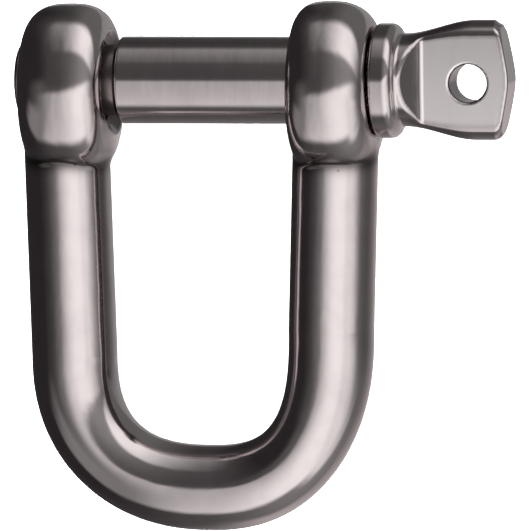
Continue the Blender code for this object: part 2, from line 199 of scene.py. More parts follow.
@dataclass
class BarStations:
    """Closely spaced sections of the bent bar, from inside the tapped ear round to the plain ear."""

    SMALLEST_GAP: ClassVar[float] = 1e-12

    centre: Array
    along: Array
    across: Array
    half_width: Array
    half_height: Array
    fullness: Array
    tree: KDTree = field(init=False)

    def __post_init__(self) -> None:
        """Sort the stations for searching."""
        self.tree = KDTree(len(self.centre))
        for index, (x, y) in enumerate(self.centre):
            self.tree.insert((x, y, 0.0), index)
        self.tree.balance()

    def nearest(self, points: Array) -> Array:
        """Return the index of the station nearest to each point, seen along Z."""
        return np.array([self.tree.find((x, y, 0.0))[1] for x, y, _ in points])

    def distance(self, points: Array, station: Array) -> Array:
        """Measure the distance to the bar.

        Args:
            points: Points in the shackle frame.
            station: The nearest station of each point.

        Returns:
            Distances, negative inside the bar.
        """
        flat = points[:, :2]
        last = len(self.centre) - 1
        ahead = ((flat - self.centre[station]) * self.along[station]).sum(axis=1)
        other = np.clip(station + np.where(ahead > 0, 1, -1), 0, last)
        beyond = ((flat - self.centre[other]) * self.along[other]).sum(axis=1)
        gap = ahead - beyond
        share = np.clip(ahead / np.where(np.abs(gap) < self.SMALLEST_GAP, self.SMALLEST_GAP, gap), 0.0, 1.0)
        keep = 1.0 - share

        def between(values: Array) -> Array:
            """Blend each station's values with its neighbour's."""
            shape = (-1,) + (1,) * (values.ndim - 1)
            return values[station] * keep.reshape(shape) + values[other] * share.reshape(shape)

        side = between(self.across)
        side /= np.linalg.norm(side, axis=1)[:, None]
        step = self.centre[other] - self.centre[station]
        turn = self.across[other] - self.across[station]
        sag = (step * turn).sum(axis=1) * share * keep / 2
        out = ((flat - between(self.centre)) * side).sum(axis=1) + sag
        half = (between(self.half_width), between(self.half_height))
        bar = section_distance(out, points[:, 2], half, (between(self.fullness),) * 2)
        past_start = -((flat - self.centre[0]) * self.along[0]).sum(axis=1)
        past_end = ((flat - self.centre[last]) * self.along[last]).sum(axis=1)
        return np.maximum(bar, np.maximum(past_start, past_end))

    def place(self, points: Array, station: Array) -> Array:
        """Find each point's place on the bar.

        Args:
            points: Points in the shackle frame.
            station: The nearest station of each point.

        Returns:
            Rows of the run along the bar and the offsets across it and up.
        """
        flat = points[:, :2] - self.centre[station]
        spacing = np.linalg.norm(self.centre[1] - self.centre[0])
        run = station * spacing + (flat * self.along[station]).sum(axis=1)
        out = (flat * self.across[station]).sum(axis=1)
        return np.column_stack([run, out, points[:, 2]])


@dataclass(frozen=True)
class Ear:
    """An ear round the pin's axis, rounded to a flat face at each side.

    It hangs down by its drop, with its own reach below, and its lift keeps it just on the floor.
    """

    middle: float
    radius: float
    drop: float
    below: float
    low_face: float
    low_fullness: float
    high_face: float
    high_fullness: float
    lift: float = 0.0
    overrun: float = 0.5 * MM
    rim_fullness: float = 5.1
    face_edge: float = 0.35 * MM

    def distance(self, points: Array) -> Array:
        """Measure the distance to the ear.

        Args:
            points: Points in the shackle frame.

        Returns:
            Distances, negative inside.
        """
        along = points[:, 0] - self.middle
        hung = points[:, 1] + self.drop
        rim = np.where(hung > 0, self.radius + self.drop, self.below)
        radius = np.hypot(hung * self.radius / rim, points[:, 2] - self.lift)
        high = along > 0
        face = np.where(high, self.high_face, self.low_face)
        fullness = np.where(high, self.high_fullness, self.low_fullness)
        half = (face + self.overrun, self.radius)
        bulb = section_distance(along, radius, half, (fullness, self.rim_fullness))
        return rounded_cut(bulb, np.abs(along) - face, self.face_edge)


@dataclass(frozen=True)
class Bore:
    """A hole round the pin's axis through one ear, with a cone at each mouth."""

    FAR_AWAY: ClassVar[float] = 1.0

    side: Side
    radius: float
    inner_face: float
    inner_mouth: float
    outer_face: float
    outer_mouth: float

    def distance(self, points: Array) -> Array:
        """Measure the distance to the hole.

        Args:
            points: Points in the shackle frame.

        Returns:
            Distances, negative in the hole's space. Points on the pin's other side lie far away.
        """
        out = points[:, 0] * self.side.value
        radius = np.hypot(points[:, 1], points[:, 2])
        inner = (radius - self.inner_mouth - self.inner_face + out) / math.sqrt(2)
        outer = (radius - self.outer_mouth - out + self.outer_face) / math.sqrt(2)
        space = np.minimum(radius - self.radius, np.minimum(inner, outer))
        return np.where(out > 0, np.maximum(space, -out), self.FAR_AWAY)


@dataclass(frozen=True)
class Leg:
    """One leg of the bow and the quarter of the crown that it runs into."""

    side: Side
    lean: float
    crown_height: float
    crown_fullness: float
    thinning: float
    neck_step: float
    ear: Ear


class SteelForm:
    """A smooth steel form that an evenly meshed copy of a CAD solid is drawn onto."""

    NODE: ClassVar[str]
    placement: Placement
    voxel: float

    def locate(self, points: Array) -> Array:
        """Return what distance needs to know of each point's neighbourhood."""
        return np.zeros(len(points), dtype=int)

    def distance(self, points: Array, station: Array) -> Array:
        """Return the distances of points to the form, negative inside."""
        raise NotImplementedError

    def skin(self, name: str) -> bpy.types.Object:
        """Make the piece: copy the CAD node, mesh it evenly and settle it on the form.

        Args:
            name: Name of the new piece.

        Returns:
            The finished object, with its place in its mesh.
        """
        place = self.placement.matrix()
        mesh = merged_mesh(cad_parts[self.NODE].data, name)
        mesh.transform(place.inverted())
        piece = new_object(name, mesh)
        remesh = piece.modifiers.new("even_faces", "REMESH")
        remesh.mode = "VOXEL"
        remesh.voxel_size = self.voxel
        mesh = applied_mesh(piece)
        points = np.empty(len(mesh.vertices) * 3)
        mesh.vertices.foreach_get("co", points)
        points, normals = settle(points.reshape(-1, 3), self)
        mesh.vertices.foreach_set("co", points.ravel())
        mesh.update()
        mesh.shade_smooth()
        turned = normals @ np.array(place.to_3x3().transposed())
        mesh.transform(place)
        mesh.normals_split_custom_set_from_vertices(turned.tolist())
        return new_object(name, mesh)

    def own_points(self, piece: bpy.types.Object) -> Array:
        """Take a finished piece's points back into the shackle frame.

        Args:
            piece: The piece.

        Returns:
            Its points, one to a row.
        """
        points = np.empty(len(piece.data.vertices) * 3)
        piece.data.vertices.foreach_get("co", points)
        back = np.array(self.placement.matrix().inverted())
        return points.reshape(-1, 3) @ back[:3, :3].T + back[:3, 3]


def new_object(name: str, mesh: bpy.types.Mesh) -> bpy.types.Object:
    """Put a mesh into the scene.

    Args:
        name: Name of the new object.
        mesh: The mesh.

    Returns:
        The object that holds it.
    """
    item = bpy.data.objects.new(name, mesh)
    bpy.context.scene.collection.objects.link(item)
    return item


def merged_mesh(source: bpy.types.Mesh, name: str, turn_out: bool = False) -> bpy.types.Mesh:
    """Copy a mesh with its double points merged.

    Args:
        source: The mesh.
        name: Name of the copy.
        turn_out: Whether its faces are turned outwards.

    Returns:
        The copy.
    """
    body = bmesh.new()
    body.from_mesh(source)
    bmesh.ops.remove_doubles(body, verts=body.verts, dist=MERGE_DISTANCE)
    if turn_out:
        bmesh.ops.recalc_face_normals(body, faces=body.faces)
    mesh = bpy.data.meshes.new(name)
    body.to_mesh(mesh)
    body.free()
    return mesh


def applied_mesh(item: bpy.types.Object) -> bpy.types.Mesh:
    """Turn an object and its modifiers into a plain mesh, and remove the object.

    Args:
        item: The object.

    Returns:
        The mesh.
    """
    bpy.context.view_layer.update()
    evaluated = item.evaluated_get(bpy.context.evaluated_depsgraph_get())
    mesh = bpy.data.meshes.new_from_object(evaluated)
    bpy.data.objects.remove(item, do_unlink=True)
    return mesh


@dataclass
class Sizes:
    """Sizes that the bow and the pin share."""

    seat_gap: float = 0.3 * MM
    bar_radius: float = 6.0 * MM
    jaw_width: float = 27.0 * MM
    inside_length: float = 45.05 * MM
    shank_radius: float = 6.1 * MM
    thread_pitch_radius: float = 5.5 * MM
    thread_clearance: float = 0.3 * MM
    thread_pitch: float = 1.75 * MM
    thread_height: float = 0.86 * MM
    threaded_ear_shift: float = 0.86 * MM
    threaded_ear_half: float = 6.0 * MM
    plain_ear_shift: float = -0.33 * MM
    plain_ear_inner: float = 5.4 * MM
    plain_ear_outer: float = 6.0 * MM
    shank_setback: float = 1.2 * MM
    tip_protrusion: float = 1.05 * MM

    @property
    def leg_spread(self) -> float:
        """Distance from the middle of the jaw to a leg's axis, level with the pin."""
        return self.jaw_width / 2 + self.bar_radius

    @property
    def crown_depth(self) -> float:
        """Depth of the crown's axis below the pin's."""
        return self.shank_radius + self.inside_length + self.bar_radius

    @property
    def threaded_ear_x(self) -> float:
        """Middle of the threaded ear along the pin."""
        return -self.leg_spread + self.threaded_ear_shift

    @property
    def plain_ear_x(self) -> float:
        """Middle of the plain ear along the pin."""
        return self.leg_spread + self.plain_ear_shift

    @property
    def hole_radius(self) -> float:
        """Mean radius of the tapped hole's thread."""
        return self.thread_pitch_radius + self.thread_clearance / 2

    @property
    def thread_radius(self) -> float:
        """Mean radius of the pin's thread."""
        return self.thread_pitch_radius - self.thread_clearance / 2

    @property
    def shank_start(self) -> float:
        """Where the plain shank begins, just inside the jaw."""
        return self.threaded_ear_x + self.threaded_ear_half + self.shank_setback

    @property
    def tip(self) -> float:
        """End of the pin's threaded tip."""
        return self.threaded_ear_x - self.threaded_ear_half - self.tip_protrusion

    @property
    def collar_x(self) -> float:
        """Front of the collar, which seats on the plain ear."""
        return self.plain_ear_x + self.plain_ear_outer + self.seat_gap


@dataclass
class ForgedBow(SteelForm):
    """The bow: a round bar bent to a D, with an ear for the pin at each end."""

    NODE: ClassVar[str] = "bow"
    PLACE: ClassVar[str] = "bar_place"

    sizes: Sizes
    placement: Placement
    voxel: float = 0.33 * MM
    core_stations: int = 37
    neck_stations: int = 100
    leg_stations: int = 150
    crown_stations: int = 300
    even_stations: int = 900
    direction_smoothings: int = 3
    crown_offset: float = 0.86 * MM
    neck_inset: float = 1.2 * MM
    neck_head_share: float = 0.5
    neck_fullness: float = 2.8
    neck_core_share: float = 0.8
    ear_wall: float = 5.1 * MM
    plain_ear_allowance: float = 0.37 * MM
    ear_polish: float = 0.02 * MM
    ear_blend: float = 0.5 * MM
    thread_seat: float = 6.3 * MM
    thread_burial: float = 0.4 * MM
    thread_back_margin: float = 0.3 * MM
    thread_front_margin: float = 1.0 * MM
    thread_runout: float = 0.8 * MM
    mouth_radius: float = 6.98 * MM
    back_chamfer: float = 0.5 * MM
    plain_hole_radius: float = 6.5 * MM
    plain_chamfer: float = 0.4 * MM
    hole_edge: float = 0.15 * MM
    pit_shift: float = 1.0 * MM
    pit_drop: float = 1.6 * MM
    pit_spread: float = 2.0 * MM
    # Reach and strength of the painted shade in the crease under each ear and round the tapped hole's
    # mouth.
    shade_reach: float = 1.1 * MM
    shade_height: float = 1.8 * MM
    crease_depth: float = 11.2 * MM
    mouth_shade: float = 0.8

    def __post_init__(self) -> None:
        """Work out the ears, their holes, the legs and the bar's stations."""
        s = self.sizes
        radius = s.hole_radius + self.ear_wall - self.ear_polish
        threaded_ear = Ear(
            middle=s.threaded_ear_x,
            radius=radius,
            drop=1.65 * MM,
            below=11.6 * MM,
            low_face=s.threaded_ear_half,
            low_fullness=2.5,
            high_face=s.threaded_ear_half,
            high_fullness=2.8,
        )
        plain_ear = Ear(
            middle=s.plain_ear_x,
            radius=radius + self.plain_ear_allowance,
            drop=1.9 * MM,
            below=11.1 * MM,
            low_face=s.plain_ear_inner,
            low_fullness=3.4,
            high_face=s.plain_ear_outer,
            high_fullness=2.1,
            lift=0.18 * MM,
        )
        threaded_leg = Leg(
            side=Side.THREADED,
            lean=math.radians(1.5),
            crown_height=18.4 * MM,
            crown_fullness=2.34,
            thinning=0.27 * MM,
            neck_step=0.75 * MM,
            ear=threaded_ear,
        )
        plain_leg = Leg(
            side=Side.PLAIN,
            lean=math.radians(1.9),
            crown_height=22.3 * MM,
            crown_fullness=2.44,
            thinning=0.41 * MM,
            neck_step=-0.15 * MM,
            ear=plain_ear,
        )
        self.legs = (threaded_leg, plain_leg)
        self.tapped_hole = Bore(
            side=Side.THREADED,
            radius=self.thread_seat,
            inner_face=-s.threaded_ear_x - s.threaded_ear_half,
            inner_mouth=self.mouth_radius,
            outer_face=-s.threaded_ear_x + s.threaded_ear_half,
            outer_mouth=s.hole_radius + self.back_chamfer,
        )
        self.plain_hole = Bore(
            side=Side.PLAIN,
            radius=self.plain_hole_radius,
            inner_face=s.plain_ear_x - s.plain_ear_inner,
            inner_mouth=self.plain_hole_radius + self.plain_chamfer,
            outer_face=s.plain_ear_x + s.plain_ear_outer,
            outer_mouth=self.plain_hole_radius + self.plain_chamfer,
        )
        self.bar = self.bar_stations()

    def leg_centre(self, leg: Leg, depth: Array) -> Array:
        """Return the middle of a leg at depths below the pin's axis, as rows of x and y."""
        x = leg.side.value * (self.sizes.leg_spread - depth * math.tan(leg.lean))
        return np.stack([x, -depth], axis=1)

    def neck(self, leg: Leg) -> Array:
        """Return the neck's sections, from inside the ear down to the leg.

        Args:
            leg: The leg that the neck belongs to.

        Returns:
            Rows of x, y, half width, half height and fullness.
        """
        radius = self.sizes.bar_radius
        within = leg.ear.radius - self.neck_inset
        lowest = leg.ear.below - self.neck_inset
        reach = lowest * math.sqrt(1.0 - (radius / within) ** 2)
        share = np.linspace(0.0, 1.0, self.neck_stations)
        below = reach * (self.neck_head_share + (1.0 - self.neck_head_share) * share)
        centre = self.leg_centre(leg, leg.ear.drop + below)
        centre[:, 0] += (leg.ear.middle - centre[:, 0]) * (1.0 - share)
        width = radius + leg.neck_step * np.sqrt(np.maximum(1.0 - share**2, 0.0))
        height = within * np.sqrt(1.0 - (below / lowest) ** 2)
        fullness = ROUND + (self.neck_fullness - ROUND) * (1.0 - share)
        rows = np.column_stack([centre, width, height, fullness])
        top = rows[0].copy()
        inside = top.copy()
        inside[:3] = (leg.ear.middle, top[1] / 2, top[2] * self.neck_core_share)
        lead = np.linspace(0.0, 1.0, self.core_stations, endpoint=False)[:, None]
        return np.vstack([inside * (1 - lead) + top * lead, rows])

    def leg_and_crown(self, leg: Leg) -> Array:
        """Return the sections of a leg and of its quarter of the crown.

        Args:
            leg: The leg.

        Returns:
            Rows like a neck's.
        """
        radius = self.sizes.bar_radius
        leg_depth = self.sizes.crown_depth - leg.crown_height
        neck_depth = -self.neck(leg)[-1, 1]
        straight = np.linspace(neck_depth, leg_depth, self.leg_stations, endpoint=False)[1:]
        centre = self.leg_centre(leg, straight)
        plain = np.full((len(straight), 3), (radius, radius, ROUND))
        start = self.leg_centre(leg, np.array([leg_depth]))[0]
        angle = np.linspace(0.0, math.pi / 2, self.crown_stations)
        out = np.maximum(np.cos(angle), 0.0) ** (2 / leg.crown_fullness)
        down = np.sin(angle) ** (2 / leg.crown_fullness)
        x = self.crown_offset + (start[0] - self.crown_offset) * out
        y = -leg_depth - leg.crown_height * down
        width = radius - leg.thinning * np.sin(2 * angle) ** 2
        crown = np.column_stack([x, y, width, np.full_like(x, radius), np.full_like(x, ROUND)])
        return np.vstack([np.column_stack([centre, plain]), crown])

    def bar_stations(self) -> BarStations:
        """Space stations evenly along the whole bar.

        Returns:
            The stations.
        """
        halves = [np.vstack([self.neck(leg), self.leg_and_crown(leg)]) for leg in self.legs]
        rows = np.vstack([halves[0], halves[1][::-1][1:]])
        run = np.concatenate([[0.0], np.cumsum(np.linalg.norm(np.diff(rows[:, :2], axis=0), axis=1))])
        even = np.linspace(0.0, run[-1], self.even_stations)
        rows = np.column_stack([np.interp(even, run, column) for column in rows.T])
        along = np.gradient(rows[:, :2], axis=0)
        for _ in range(self.direction_smoothings):
            along[1:-1] = (along[:-2] + 2 * along[1:-1] + along[2:]) / 4
        along /= np.linalg.norm(along, axis=1)[:, None]
        across = np.column_stack([along[:, 1], -along[:, 0]])
        return BarStations(rows[:, :2], along, across, rows[:, 2], rows[:, 3], rows[:, 4])

    def locate(self, points: Array) -> Array:
        """Return the bar's station nearest to each point."""
        return self.bar.nearest(points)

    def bar_and_ears(self, points: Array, station: Array) -> tuple[Array, Array]:
        """Return the distances of points to the bar and to the nearer ear."""
        ears = np.minimum(*(leg.ear.distance(points) for leg in self.legs))
        return self.bar.distance(points, station), ears

    def distance(self, points: Array, station: Array) -> Array:
        """Measure the distance to the bow.

        Args:
            points: Points in the shackle frame.
            station: The bar's station nearest to each point.

        Returns:
            Distances, negative inside.
        """
        body = filleted_join(*self.bar_and_ears(points, station), self.ear_blend)
        for hole in (self.tapped_hole, self.plain_hole):
            body = rounded_cut(body, -hole.distance(points), self.hole_edge)
        return body

    def thread(self) -> "TurnedThread":
        """Lay out the tapped hole's thread, seated in the hole's wall and flush with both mouths.

        Returns:
            The thread, to be built.
        """
        s = self.sizes
        inner = -self.tapped_hole.inner_face
        outer = -self.tapped_hole.outer_face
        buried = self.thread_seat + self.thread_burial
        mouth = inner - self.mouth_radius
        back = outer + self.tapped_hole.outer_mouth
        profile = [
            (mouth + self.thread_seat - self.thread_burial, buried),
            (mouth + self.thread_seat, self.thread_seat),
            (mouth + s.hole_radius, s.hole_radius),
            (back - s.hole_radius, s.hole_radius),
            (back - self.thread_seat, self.thread_seat),
            (back - self.thread_seat + self.thread_burial, buried),
        ]
        start = outer + self.thread_back_margin
        end = inner - self.thread_front_margin
        profile += profile[:1]
        return TurnedThread("tapped_thread", profile, start, end, self.thread_runout, s, self.placement)

    def build(self) -> bpy.types.Object:
        """Make the bow's piece, which knows its points' places on the bar, its pits and its painted shade
        in the creases and round the tapped mouth.

        Returns:
            The finished object.
        """
        piece = self.skin("forged_bow")
        points = self.own_points(piece)
        station = self.locate(points)
        layer = piece.data.attributes.new(self.PLACE, "FLOAT_VECTOR", "POINT")
        layer.data.foreach_set("vector", self.bar.place(points, station).ravel())
        wear = np.zeros(len(points))
        for leg in self.legs:
            foot = self.neck(leg)[-1]
            aside = points - (foot[0] + self.pit_shift, foot[1] - self.pit_drop, self.sizes.bar_radius)
            wear = np.maximum(wear, np.exp(-(((aside / self.pit_spread) ** 2).sum(axis=1))))
        Mark.WEAR.write(piece, wear)
        # Painted shade: darkening where the ear meets the bar in the crease, and round the tapped hole's
        # mouth.
        bar, ears = self.bar_and_ears(points, station)
        aside = np.maximum(np.abs(ears), np.abs(bar)) / self.shade_reach
        level = (points[:, 1] + self.crease_depth) / self.shade_height
        crease_shade = np.exp(-(aside**2) - level**2)
        mouth = np.exp(-((self.tapped_hole.distance(points) / self.hole_edge) ** 2))
        Mark.PAINTED_SHADE.write(piece, np.maximum(crease_shade, self.mouth_shade * mouth))
        return piece

    def dress(self, steel: bpy.types.Material, tree: "ThreadTree") -> None:
        """Build the forging and its thread, and give them their steel."""
        put_in_steel(self.build(), steel, Body.BOW, self.NODE)
        put_in_steel(self.thread().build(tree), tree.material, Body.BOW)


@dataclass
class ScrewPin(SteelForm):
    """The screw pin: shank, collar, and a flat tab with an eye. Its thread is a piece of its own."""

    NODE: ClassVar[str] = "screw_pin"

    sizes: Sizes
    placement: Placement
    voxel: float = 0.2 * MM
    shank_chamfer: float = 0.5 * MM
    shank_edge: float = 0.1 * MM
    relief_depth: float = 0.4 * MM
    relief_length: float = 2.2 * MM
    tip_rounding: float = 0.9 * MM
    core_inset: float = 0.1 * MM
    tip_inset: float = 0.2 * MM
    thread_overlap: float = 0.1 * MM
    thread_burial: float = 1.0 * MM
    thread_runout: float = 1.2 * MM
    tip_points: int = 9
    collar_radius: float = 8.0 * MM
    collar_width: float = 3.2 * MM
    collar_rounding: float = 1.3 * MM
    collar_front_rounding: float = 0.4 * MM
    collar_lead: float = 0.1 * MM
    collar_fillet: float = 0.6 * MM
    neck_radius: float = 6.5 * MM
    tab_length: float = 15.66 * MM
    tab_half_height: float = 8.38 * MM
    tab_rise: float = 0.12 * MM
    tab_flare: float = 10.0 * MM
    tab_half_thickness: float = 3.2 * MM
    tab_side_depth: float = 5.3 * MM
    tab_sweep: float = 0.2
    tab_tip_rounding: float = 1.5 * MM
    tab_corner: float = 0.9 * MM
    flat_edge: float = 0.35 * MM
    flat_crowning: float = 150.0 * MM
    on_face_share: float = 0.25
    ramp_end: float = 3.4 * MM
    ramp_angle: float = math.radians(52)
    ramp_blend: float = 0.3 * MM
    eye_radius: float = 2.62 * MM
    eye_edge: float = 5.72 * MM
    eye_drop: float = 0.2 * MM
    eye_rounding: float = 0.45 * MM
    pit_setback: float = 9.6 * MM
    pit_rise: float = 2.0 * MM
    pit_spread: float = 1.8 * MM
    # Share of painted shade on the ramps up to the neck.
    ramp_shade: float = 0.25

    @property
    def tab_start(self) -> float:
        """Where the tab's neck leaves the collar."""
        return self.sizes.collar_x + self.collar_width

    @property
    def tab_end(self) -> float:
        """The tab's far end."""
        return self.tab_start + self.tab_length

    def turned_body(self, x: Array, radius: Array) -> Array:
        """Measure the distance to the threaded core, the shank and the collar.

        Args:
            x: Places along the pin.
            radius: Distances from its axis.

        Returns:
            Distances, negative inside.
        """
        s = self.sizes
        start = s.shank_start
        chamfer = (radius - s.shank_radius + self.shank_chamfer - (x - start)) / math.sqrt(2)
        shank = rounded_cut(radius - s.shank_radius, np.maximum(start - x, chamfer), self.shank_edge)
        shank = np.maximum(shank, x - self.tab_start)
        core_radius = s.thread_radius - self.relief_depth - self.core_inset
        core = rounded_cut(radius - core_radius, s.tip + self.tip_inset - x, self.tip_rounding)
        core = np.maximum(core, x - self.tab_start)
        back = rounded_cut(radius - self.collar_radius, x - self.tab_start, self.collar_rounding)
        collar = rounded_cut(back, s.collar_x - self.collar_lead - x, self.collar_front_rounding)
        return np.minimum(np.minimum(core, shank), collar)

    def tab(self, x: Array, y: Array, z: Array) -> Array:
        """Measure the distance to the forged tab, before its flats and its eye.

        Args:
            x: Places along the pin.
            y: Places up the tab.
            z: Places through it.

        Returns:
            Distances, negative inside.
        """
        y = y - self.tab_rise
        share = np.clip((x - self.tab_start - self.collar_fillet) / self.tab_flare, 0.0, 1.0)
        eased = share * share * (3.0 - 2.0 * share)
        half_height = self.neck_radius + (self.tab_half_height - self.neck_radius) * eased
        half_depth = self.neck_radius + (self.tab_side_depth - self.neck_radius) * eased
        blank = section_distance(y, z, (half_height, half_depth), (ROUND, ROUND))
        sweep = np.hypot(y, self.tab_tip_rounding) - self.tab_tip_rounding
        end = (x - self.tab_end + self.tab_sweep * sweep) / math.hypot(1.0, self.tab_sweep)
        blank = rounded_cut(blank, end, self.tab_corner)
        return np.maximum(blank, self.tab_start - self.collar_width / 2 - x)

    def milled_flats(self, x: Array, y: Array, z: Array) -> Array:
        """Measure the distance to what the milling leaves: two flats that end in ramps up to the neck.

        Args:
            x: Places along the pin.
            y: Places up the tab.
            z: Places through it.

        Returns:
            Distances, negative in the steel that is left.
        """
        flat = np.abs(z) - self.tab_half_thickness + y**2 / (2 * self.flat_crowning)
        along = x - self.tab_start - self.ramp_end
        ramp = flat * math.cos(self.ramp_angle) + along * math.sin(self.ramp_angle)
        return filleted_join(flat, ramp, self.ramp_blend)

    def eye(self, x: Array, y: Array) -> Array:
        """Return the distances to the eye's wall, positive in the hole."""
        return self.eye_radius - np.hypot(x - self.tab_end + self.eye_edge, y + self.eye_drop)

    def distance(self, points: Array, station: Array) -> Array:
        """Measure the distance to the pin.

        Args:
            points: Points in the shackle frame.
            station: Unused, because the pin is straight.

        Returns:
            Distances, negative inside.
        """
        x, y, z = points.T
        body = filleted_join(self.turned_body(x, np.hypot(y, z)), self.tab(x, y, z), self.collar_fillet)
        body = rounded_cut(body, self.milled_flats(x, y, z), self.flat_edge)
        return rounded_cut(body, self.eye(x, y), self.eye_rounding)

    def thread(self) -> "TurnedThread":
        """Lay out the pin's thread, from its relief groove to its rounded tip.

        Returns:
            The thread, to be built.
        """
        s = self.sizes
        relief = s.thread_radius - self.relief_depth
        relief_end = s.shank_start - self.relief_length
        inside = s.shank_start + self.thread_overlap
        profile = [
            (inside, relief - self.thread_burial),
            (inside, relief),
            (relief_end, relief),
            (relief_end - self.relief_depth, s.thread_radius),
        ]
        for angle in np.linspace(0.0, math.pi / 2, self.tip_points):
            x = s.tip + self.tip_rounding * (1 - math.sin(angle))
            profile.append((x, s.thread_radius - self.tip_rounding * (1 - math.cos(angle))))
        profile.append((s.tip, 0.0))
        start = s.tip + self.tip_inset
        return TurnedThread("pin_thread", profile, start, relief_end, self.thread_runout, s, self.placement)

    def build(self) -> bpy.types.Object:
        """Make the pin's piece, which knows where it is milled and pitted and where shade is painted on it.

        Returns:
            The finished object.
        """
        piece = self.skin("screw_pin_body")
        x, y, z = self.own_points(piece).T
        along = x - self.tab_start - self.ramp_end
        flat = np.abs(self.milled_flats(x, y, z)) < self.on_face_share * self.flat_edge
        inward = -self.tab(x, y, z) - self.flat_edge
        milled = np.clip(inward / self.flat_edge, 0.0, 1.0) * np.clip(along / self.flat_edge, 0.0, 1.0)
        Mark.MILLED.write(piece, flat * milled)
        # Painted shade: the eye's wall is darkened fully and the ramps in part.
        wall = np.abs(self.eye(x, y)) < self.on_face_share * self.eye_rounding
        wall &= np.abs(z) < self.tab_half_thickness
        ramp = flat & (along < 0.0) & (x > self.tab_start)
        Mark.PAINTED_SHADE.write(piece, np.where(wall, 1.0, self.ramp_shade * ramp))
        aside = np.hypot(x - self.tab_end + self.pit_setback, y - self.pit_rise)
        Mark.WEAR.write(piece, np.exp(-((aside / self.pit_spread) ** 2)) * (z > 0))
        return piece

    def dress(self, steel: bpy.types.Material, tree: "ThreadTree") -> None:
        """Build the pin and its thread, and give them their steel."""
        put_in_steel(self.build(), steel, Body.PIN, self.NODE)
        put_in_steel(self.thread().build(tree), tree.material, Body.PIN)


class NodeDesk:
    """A node tree with short ways to add and link its nodes."""

    def __init__(self, tree: bpy.types.NodeTree) -> None:
        """Keep the tree."""
        self.tree = tree

    def add(self, kind: str, inputs: Inputs | None = None, **settings: object) -> bpy.types.Node:
        """Add a node.

        Args:
            kind: The node's type.
            inputs: A plain value or a socket for each of its inputs, by name or place.
            settings: Its properties and their values.

        Returns:
            The node.
        """
        node = self.tree.nodes.new(kind)
        for name, value in settings.items():
            setattr(node, name, value)
        for name, value in (inputs or {}).items():
            self.feed(node.inputs[name], value)
        return node

    def feed(self, socket: bpy.types.NodeSocket, value: object) -> None:
        """Link a socket to an input, or set the input's value.

        Args:
            socket: The input.
            value: A socket, or a plain value.
        """
        if isinstance(value, bpy.types.NodeSocket):
            self.tree.links.new(value, socket)
        else:
            socket.default_value = value

    def math(self, operation: str, *values: object) -> bpy.types.NodeSocket:
        """Work on numbers or sockets with a Math node, and return its output."""
        return self.add("ShaderNodeMath", dict(enumerate(values)), operation=operation).outputs[0]

    def vector(self, operation: str, *values: object) -> bpy.types.NodeSocket:
        """Work on vectors or sockets with a Vector Math node, and return the output that it uses."""
        node = self.add("ShaderNodeVectorMath", dict(enumerate(values)), operation=operation)
        return node.outputs["Value" if operation == "DOT_PRODUCT" else "Vector"]

    def soft_step(self, value: object, middle: object, softness: object) -> bpy.types.NodeSocket:
        """Return a smooth step from 0 to 1 that is centred on a value.

        Args:
            value: What is stepped.
            middle: Where the step reaches a half.
            softness: Half of the step's width.

        Returns:
            The step, between 0 and 1.
        """
        low = self.math("SUBTRACT", middle, softness)
        high = self.math("ADD", middle, softness)
        inputs = {"Value": value, "From Min": low, "From Max": high}
        return self.add("ShaderNodeMapRange", inputs, interpolation_type="SMOOTHSTEP").outputs["Result"]

    def noise(self, place: object, scale: float, detail: float = 2.0) -> bpy.types.NodeSocket:
        """Return a noise pattern's value at a place, around one half."""
        inputs = {"Vector": place, "Scale": scale, "Detail": detail}
        return self.add("ShaderNodeTexNoise", inputs).outputs["Fac"]

    def blend(self, share: object, first: object, second: object) -> bpy.types.NodeSocket:
        """Return a mix of two colours, with the second one's share."""
        inputs = {"Factor": share, 6: first, 7: second}
        return self.add("ShaderNodeMix", inputs, data_type="RGBA").outputs[2]


